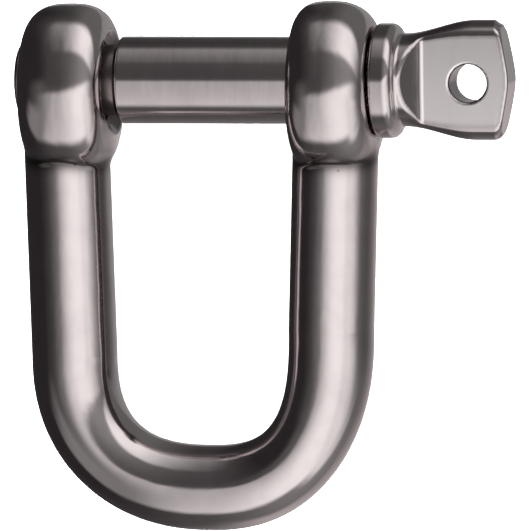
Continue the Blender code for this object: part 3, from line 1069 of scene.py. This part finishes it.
class ThreadTree:
    """The Geometry Nodes tree that cuts a helical thread into a surface turned about X."""

    INPUTS = ("Pitch", "Height", "Start", "End", "Run-out")
    FLANK_STEEPNESS = 1.3

    def __init__(self, material: bpy.types.Material) -> None:
        """Build the tree, which ends in Realize Instances and Set Material.

        Args:
            material: The material of the threads.
        """
        self.material = material
        self.tree = bpy.data.node_groups.new("helical_thread", "GeometryNodeTree")
        face = self.tree.interface
        face.new_socket("Geometry", in_out="INPUT", socket_type="NodeSocketGeometry")
        self.sockets = {
            name: face.new_socket(name, in_out="INPUT", socket_type="NodeSocketFloat").identifier
            for name in self.INPUTS
        }
        face.new_socket("Geometry", in_out="OUTPUT", socket_type="NodeSocketGeometry")
        self.desk = NodeDesk(self.tree)
        self.entry = self.desk.add("NodeGroupInput").outputs
        self.wire()

    def share(self, value: object) -> bpy.types.NodeSocket:
        """Return a value kept between 0 and 1."""
        return self.desk.math("MINIMUM", self.desk.math("MAXIMUM", value, 0.0), 1.0)

    def offset(self, x: object, y: object, z: object) -> bpy.types.NodeSocket:
        """Return how far the surface moves out from the axis.

        Args:
            x: Place along the axis.
            y: First coordinate across it.
            z: Second coordinate across it.

        Returns:
            The radial offset: straight flanks with flat crests, fading at both ends.
        """
        value = self.desk.math
        turn = value("DIVIDE", value("ARCTAN2", z, y), 2 * math.pi)
        phase = value("ADD", value("DIVIDE", x, self.entry["Pitch"]), turn)
        flank = value("SUBTRACT", value("MULTIPLY", value("PINGPONG", phase, 0.5), 2.0), 0.5)
        flank = self.share(value("MULTIPLY_ADD", flank, self.FLANK_STEEPNESS, 0.5))
        rise = self.share(value("DIVIDE", value("SUBTRACT", x, self.entry["Start"]), self.entry["Run-out"]))
        fall = self.share(value("DIVIDE", value("SUBTRACT", self.entry["End"], x), self.entry["Run-out"]))
        height = value("MULTIPLY", self.entry["Height"], value("MULTIPLY", rise, fall))
        return value("MULTIPLY", value("SUBTRACT", flank, 0.5), height)

    def wire(self) -> None:
        """Link the nodes that move the surface, realize it and give it its material."""
        desk = self.desk
        position = desk.add("GeometryNodeInputPosition").outputs[0]
        x, y, z = desk.add("ShaderNodeSeparateXYZ", {0: position}).outputs
        radial = desk.vector("NORMALIZE", desk.add("ShaderNodeCombineXYZ", {"Y": y, "Z": z}).outputs[0])
        shift = {0: radial, "Scale": self.offset(x, y, z)}
        offset = desk.add("ShaderNodeVectorMath", shift, operation="SCALE").outputs[0]
        moved = desk.add("GeometryNodeSetPosition", {"Geometry": self.entry["Geometry"], "Offset": offset})
        real = desk.add("GeometryNodeRealizeInstances", {0: moved.outputs[0]})
        inputs = {"Geometry": real.outputs[0], "Material": self.material}
        dressed = desk.add("GeometryNodeSetMaterial", inputs)
        desk.add("NodeGroupOutput", {0: dressed.outputs[0]})


@dataclass
class TurnedThread:
    """A threaded surface: a profile turned about the pin's axis and cut along a helix."""

    name: str
    profile: list[tuple[float, float]]
    start: float
    end: float
    runout: float
    sizes: Sizes
    placement: Placement
    steps: int = 96
    spacing: float = 0.12 * MM
    merge: float = 0.01 * MM
    sharp_angle: float = math.radians(50)

    def dense_profile(self) -> list[tuple[float, float]]:
        """Add points along the profile's long stretches.

        Returns:
            The denser profile.
        """
        points = [self.profile[0]]
        for near, far in zip(self.profile, self.profile[1:]):
            count = max(1, round(math.dist(near, far) / self.spacing))
            for i in range(1, count + 1):
                share = i / count
                points.append((near[0] + (far[0] - near[0]) * share, near[1] + (far[1] - near[1]) * share))
        return points

    def build(self, tree: ThreadTree) -> bpy.types.Object:
        """Turn the profile, cut the helix with the tree and return the finished piece.

        Args:
            tree: The tree that cuts the thread.

        Returns:
            The finished object.
        """
        points = self.dense_profile()
        mesh = bpy.data.meshes.new(self.name)
        mesh.from_pydata([(r, 0.0, x) for x, r in points], [(i, i + 1) for i in range(len(points) - 1)], [])
        item = new_object(self.name, mesh)
        screw = item.modifiers.new("turning", "SCREW")
        screw.steps = self.steps
        screw.render_steps = self.steps
        screw.use_merge_vertices = True
        screw.merge_threshold = self.merge
        mesh = applied_mesh(item)
        mesh.transform(Matrix.Rotation(math.pi / 2, 4, "Y"))
        item = new_object(self.name, mesh)
        helix = item.modifiers.new("thread", "NODES")
        helix.node_group = tree.tree
        values = (self.sizes.thread_pitch, self.sizes.thread_height, self.start, self.end, self.runout)
        for name, value in zip(ThreadTree.INPUTS, values):
            helix[tree.sockets[name]] = value
        mesh = merged_mesh(applied_mesh(item), self.name, turn_out=True)
        mesh.shade_smooth()
        mesh.set_sharp_from_angle(angle=self.sharp_angle)
        mesh.transform(self.placement.matrix())
        return new_object(self.name, mesh)


@dataclass(frozen=True)
class Camera:
    """The camera at the photograph's viewing angle, in the shackle frame: far away, with a long lens."""

    placement: Placement
    yaw: float = math.radians(12.3462)
    pitch: float = math.radians(4.5745)
    roll: float = math.radians(-0.6432)
    distance: float = 1.5
    view_width: float = 74.144 * MM
    target: Vector = Vector((9.0165 * MM, -25.927 * MM, 0.0))
    sensor: float = 36.0

    def build(self) -> bpy.types.Object:
        """Make the scene's camera.

        Returns:
            The camera.
        """
        across = math.sin(self.yaw) * math.cos(self.pitch)
        toward = math.cos(self.yaw) * math.cos(self.pitch)
        forward = -Vector((across, math.sin(self.pitch), toward))
        level = forward.cross(Vector((0.0, 1.0, 0.0))).normalized()
        upright = level.cross(forward)
        right = level * math.cos(self.roll) + upright * math.sin(self.roll)
        up = upright * math.cos(self.roll) - level * math.sin(self.roll)
        data = bpy.data.cameras.new("camera")
        data.sensor_width = self.sensor
        data.lens = self.sensor * self.distance / self.view_width
        camera = bpy.data.objects.new("camera", data)
        bpy.context.scene.collection.objects.link(camera)
        turn = Matrix((right, up, -forward)).transposed().to_4x4()
        place = Matrix.Translation(self.target - forward * self.distance)
        camera.matrix_world = self.placement.matrix() @ place @ turn
        bpy.context.scene.camera = camera
        return camera


@dataclass(frozen=True)
class SoftPanel:
    """A soft light or a wall of the studio, as a patch of directions round the shackle.

    Pitch turns about the picture's level axis, in degrees: 0 is toward the camera and 90 is up in the
    picture. Side is the angle to the right. Each edge has its place and its softness, and lean slants both
    pitch edges.
    """

    name: str
    brightness: float
    pitch: tuple[float, float]
    pitch_softness: tuple[float, float]
    side: tuple[float, float]
    side_softness: tuple[float, float]
    lean: float = 0.0
    colour: Colour = (1.0, 1.0, 1.0)


@dataclass
class Studio:
    """The pale floor and the soft light: the steel mirrors the panels, and the floor gets an even light."""

    camera: bpy.types.Object
    darkness: float = 0.03
    floor_light: float = 6.0
    floor_size: float = 12.0
    floor_gap: float = 0.05 * MM
    floor_paint: Colour = (0.86, 0.86, 0.86)
    dark_colour: Colour = (1.07, 0.98, 1.02)
    panels: tuple[SoftPanel, ...] = (
        SoftPanel("front_wall", 0.48, (-124, 86), (112, 33), (4, 62), (51, 62), -0.62),
        SoftPanel("upper_wall", 0.18, (60, 187), (10, 10), (1, 91), (16, 27), -0.26),
        SoftPanel("lower_wall", 0.55, (-229, -113), (6, 10), (2, 41), (11, 34), -0.35, (1.06, 0.98, 0.98)),
        SoftPanel("lower_light", 1.38, (-74, 1), (8, 4), (-22, 51), (34, 24), 0.20),
        SoftPanel("upper_light", 1.35, (44, 90), (5, 8), (-3, 57), (24, 23), -0.22),
        SoftPanel("left_glow", 0.21, (-86, 4), (10, 10), (-47, -33), (34, 9), -0.15),
        SoftPanel("right_glow", 1.13, (-73, 4), (10, 1), (30, 56), (9, 24), -0.29),
        SoftPanel("left_shade", 0.30, (-88, -32), (9, 12), (-66, -34), (12, 8)),
        SoftPanel("rear_wall", 0.34, (150, 208), (1, 10), (-6, 60), (3, 26), -0.13),
    )

    def build_floor(self) -> bpy.types.Object:
        """Make the floor. The steel doesn't mirror it, because the walls stand for it.

        Returns:
            The floor.
        """
        half = self.floor_size / 2
        corners = [(-half, -half), (half, -half), (half, half), (-half, half)]
        mesh = bpy.data.meshes.new("floor")
        mesh.from_pydata([(x, y, -self.floor_gap) for x, y in corners], [], [(0, 1, 2, 3)])
        floor = new_object("floor", mesh)
        paint = bpy.data.materials.new("pale_floor")
        paint.use_nodes = True
        shader = paint.node_tree.nodes["Principled BSDF"]
        shader.inputs["Base Color"].default_value = self.floor_paint + (1.0,)
        shader.inputs["Roughness"].default_value = 1.0
        shader.inputs["Specular IOR Level"].default_value = 0.0
        mesh.materials.append(paint)
        floor.visible_glossy = False
        return floor

    def cover(self, desk: NodeDesk, panel: SoftPanel, pitch: object, side: object) -> bpy.types.NodeSocket:
        """Work out how much of a direction's light a panel covers.

        Args:
            desk: The world's node tree.
            panel: The panel.
            pitch: The direction's pitch.
            side: Its angle to the right.

        Returns:
            The covered share.
        """
        leaned = desk.math("SUBTRACT", pitch, desk.math("MULTIPLY", side, panel.lean))
        mask = desk.soft_step(leaned, panel.pitch[0], panel.pitch_softness[0])
        for value, edge, softness, sign in (
            (leaned, panel.pitch[1], panel.pitch_softness[1], -1.0),
            (side, panel.side[0], panel.side_softness[0], 1.0),
            (side, panel.side[1], panel.side_softness[1], -1.0),
        ):
            step = desk.soft_step(desk.math("MULTIPLY", value, sign), edge * sign, softness)
            mask = desk.math("MULTIPLY", mask, step)
        mask.node.label = panel.name
        return mask

    def build_light(self) -> bpy.types.World:
        """Make the world: the panels for what the steel mirrors, plain white for all else.

        Returns:
            The world.
        """
        world = bpy.data.worlds.new("studio")
        bpy.context.scene.world = world
        world.use_nodes = True
        world.cycles.sampling_method = "NONE"
        desk = NodeDesk(world.node_tree)
        direction = desk.add("ShaderNodeTexCoord").outputs["Generated"]
        right, up, back = self.camera.matrix_world.to_3x3().transposed()
        across = desk.vector("DOT_PRODUCT", direction, right)
        level = desk.vector("DOT_PRODUCT", direction, up)
        toward = desk.vector("DOT_PRODUCT", direction, back)
        pitch = desk.math("DEGREES", desk.math("ARCTAN2", level, toward))
        side = desk.math("DEGREES", desk.math("ARCSINE", across))
        light = tuple(self.darkness * part for part in self.dark_colour) + (1.0,)
        for panel in self.panels:
            glow = tuple(panel.brightness * part for part in panel.colour) + (1.0,)
            light = desk.blend(self.cover(desk, panel, pitch, side), light, glow)
        mirrored = desk.add("ShaderNodeBackground", {"Color": light})
        white = {"Color": (1.0, 1.0, 1.0, 1.0), "Strength": self.floor_light}
        plain = desk.add("ShaderNodeBackground", white)
        path = desk.add("ShaderNodeLightPath")
        inputs = {0: path.outputs["Is Glossy Ray"], 1: plain.outputs[0], 2: mirrored.outputs[0]}
        mix = desk.add("ShaderNodeMixShader", inputs)
        desk.feed(world.node_tree.nodes["World Output"].inputs["Surface"], mix.outputs[0])
        return world

    def build(self) -> None:
        """Build the floor and the light, and show colours as they are."""
        self.build_floor()
        self.build_light()
        bpy.context.scene.view_settings.view_transform = "Standard"


@dataclass(frozen=True)
class SteelFinish:
    """How one piece's steel is finished: its colours, its gloss and the marks on it."""

    name: str
    colour: Colour
    shade: Colour
    roughness: float
    roughness_spread: float
    waviness: float
    marks: float
    mark_stretch: tuple[float, float, float]
    pits: float = 0.10
    least_roughness: float = 0.04
    milled_roughness: float = 0.36
    milled_colour: Colour = (0.90, 0.85, 0.84)
    # Dark colour that painted shade pulls the steel toward.
    painted_shade_colour: Colour = (0.12, 0.10, 0.10)


FORGED = SteelFinish(
    name="forged_steel",
    colour=(0.62, 0.56, 0.56),
    shade=(0.575, 0.51, 0.515),
    roughness=0.12,
    roughness_spread=0.05,
    waviness=0.05,
    marks=0.004,
    mark_stretch=(0.06, 1.0, 1.0),
)
TURNED = SteelFinish(
    name="turned_steel",
    colour=(0.61, 0.555, 0.555),
    shade=(0.57, 0.505, 0.51),
    roughness=0.13,
    roughness_spread=0.03,
    waviness=0.02,
    marks=0.002,
    mark_stretch=(1.6, 0.05, 0.05),
)
THREAD_CUT = SteelFinish(
    name="thread_cut_steel",
    colour=(0.30, 0.26, 0.26),
    shade=(0.20, 0.17, 0.16),
    roughness=0.30,
    roughness_spread=0.10,
    waviness=0.0,
    marks=0.02,
    mark_stretch=(0.3, 1.5, 1.5),
)


@dataclass
class SteelGroups:
    """The shader node group that every steel finish uses. Its patterns' scales are in repeats per metre."""

    wave_scale: float = 110.0
    wave_stretch: float = 2.0
    mark_scale: float = 1000.0
    pit_scale: float = 620.0
    pit_reach: float = 0.11
    pit_edge: float = 0.06
    pit_rarity: float = 0.55
    pit_choice: float = 0.05
    stain_scale: float = 260.0
    stain_level: float = 0.55
    stain_softness: float = 0.22
    streak_scale: float = 420.0
    smear_scale: float = 900.0
    smear_share: float = 0.6
    mean_dullness: float = 0.8
    marks: bpy.types.NodeTree = field(init=False)

    def __post_init__(self) -> None:
        """Build the group once."""
        self.marks = self.build_marks()

    def build_marks(self) -> bpy.types.NodeTree:
        """Make the group for worked steel: slow waves, fine lengthwise marks, pits and stains.

        Returns:
            The group.
        """
        tree = bpy.data.node_groups.new("worked_steel", "ShaderNodeTree")
        face = tree.interface
        for name in ("Place", "Mark stretch"):
            face.new_socket(name, in_out="INPUT", socket_type="NodeSocketVector")
        for name in ("Waviness", "Marks", "Pits"):
            face.new_socket(name, in_out="INPUT", socket_type="NodeSocketFloat")
        for name in ("Height", "Stain", "Dullness"):
            face.new_socket(name, in_out="OUTPUT", socket_type="NodeSocketFloat")
        desk = NodeDesk(tree)
        entry = desk.add("NodeGroupInput").outputs
        place = entry["Place"]
        stretched = desk.vector("MULTIPLY", place, entry["Mark stretch"])
        flowing = desk.vector("ADD", place, desk.vector("MULTIPLY", stretched, (self.wave_stretch,) * 3))
        slow = desk.math("SUBTRACT", desk.noise(flowing, self.wave_scale), 0.5)
        waves = desk.math("MULTIPLY", slow, entry["Waviness"])
        fine = desk.math("SUBTRACT", desk.noise(stretched, self.mark_scale, 3.0), 0.5)
        marks = desk.math("MULTIPLY", fine, entry["Marks"])
        spots = desk.add("ShaderNodeTexVoronoi", {"Vector": place, "Scale": self.pit_scale})
        inward = desk.math("MULTIPLY", spots.outputs["Distance"], -1.0)
        near = desk.soft_step(inward, -self.pit_reach, self.pit_edge)
        parts = desk.add("ShaderNodeSeparateColor", {0: spots.outputs["Color"]})
        chosen = desk.soft_step(parts.outputs[0], self.pit_rarity, self.pit_choice)
        pit = desk.math("MULTIPLY", desk.math("MULTIPLY", near, chosen), entry["Pits"])
        height = desk.math("SUBTRACT", desk.math("ADD", waves, marks), pit)
        cloud = desk.noise(place, self.stain_scale, 4.0)
        stain = desk.soft_step(cloud, self.stain_level, self.stain_softness)
        smears = desk.math("MULTIPLY", desk.noise(place, self.smear_scale, 3.0), self.smear_share)
        dull = desk.math("ADD", desk.noise(stretched, self.streak_scale), smears)
        dullness = desk.math("SUBTRACT", dull, self.mean_dullness)
        desk.add("NodeGroupOutput", {"Height": height, "Stain": stain, "Dullness": dullness})
        return tree


@dataclass
class SteelShop:
    """Makes the steel materials from their finishes."""

    groups: SteelGroups

    def material(self, finish: SteelFinish, attribute: str | None = None) -> bpy.types.Material:
        """Make a steel material.

        Args:
            finish: The finish.
            attribute: Name of the attribute that the marks follow, or None for the object's coordinates.

        Returns:
            The material.
        """
        material = bpy.data.materials.new(finish.name)
        material.use_nodes = True
        desk = NodeDesk(material.node_tree)
        shader = material.node_tree.nodes["Principled BSDF"]
        if attribute:
            place = desk.add("ShaderNodeAttribute", attribute_name=attribute).outputs["Vector"]
        else:
            place = desk.add("ShaderNodeTexCoord").outputs["Object"]
        wear, milled, painted_shade = (
            desk.add("ShaderNodeAttribute", attribute_name=mark.value).outputs["Fac"] for mark in Mark
        )
        inputs = {
            "Place": place,
            "Mark stretch": finish.mark_stretch,
            "Waviness": finish.waviness,
            "Marks": finish.marks,
            "Pits": desk.math("MULTIPLY", wear, finish.pits),
        }
        worked = desk.add("ShaderNodeGroup", inputs, node_tree=self.groups.marks)
        colour = desk.blend(worked.outputs["Stain"], finish.colour + (1.0,), finish.shade + (1.0,))
        colour = desk.blend(milled, colour, finish.milled_colour + (1.0,))
        rough = desk.math(
            "MULTIPLY_ADD", worked.outputs["Dullness"], finish.roughness_spread, finish.roughness
        )
        rough = desk.math("MULTIPLY_ADD", milled, finish.milled_roughness - finish.roughness, rough)
        bump = desk.add("ShaderNodeBump", {"Distance": BUMP_DEPTH, "Height": worked.outputs["Height"]})
        shader.inputs["Metallic"].default_value = 1.0
        # Painted shade darkens the base colour in the creases, round the tapped mouth, on the eye's wall
        # and on the ramps.
        desk.feed(shader.inputs["Base Color"], desk.blend(painted_shade, colour, finish.painted_shade_colour + (1.0,)))
        desk.feed(shader.inputs["Roughness"], desk.math("MAXIMUM", rough, finish.least_roughness))
        desk.feed(shader.inputs["Normal"], bump.outputs[0])
        return material


def put_in_steel(piece: bpy.types.Object, material: bpy.types.Material, body: Body, *nodes: str) -> None:
    """Give a piece its material and its body, and let it stand for CAD nodes.

    Args:
        piece: The finished piece.
        material: Its material.
        body: The body that it rides on.
        nodes: The CAD nodes that it replaces.
    """
    piece.data.materials.clear()
    piece.data.materials.append(material)
    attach(piece, body.value)
    if nodes:
        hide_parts(*nodes)
    log.info("%s: %d faces, on %s", piece.name, len(piece.data.polygons), body.value)


def main() -> None:
    """Build and dress the shackle, then light it and set the camera."""
    logging.basicConfig(level=logging.INFO, format="%(name)s: %(message)s")
    sizes = Sizes()
    shop = SteelShop(SteelGroups())
    forged = shop.material(FORGED, attribute=ForgedBow.PLACE)
    turned = shop.material(TURNED)
    tree = ThreadTree(shop.material(THREAD_CUT))
    ForgedBow(sizes, SHACKLE_PLACE).dress(forged, tree)
    ScrewPin(sizes, SHACKLE_PLACE).dress(turned, tree)
    camera = Camera(SHACKLE_PLACE).build()
    Studio(camera).build()


if __name__ == "__main__":
    main()
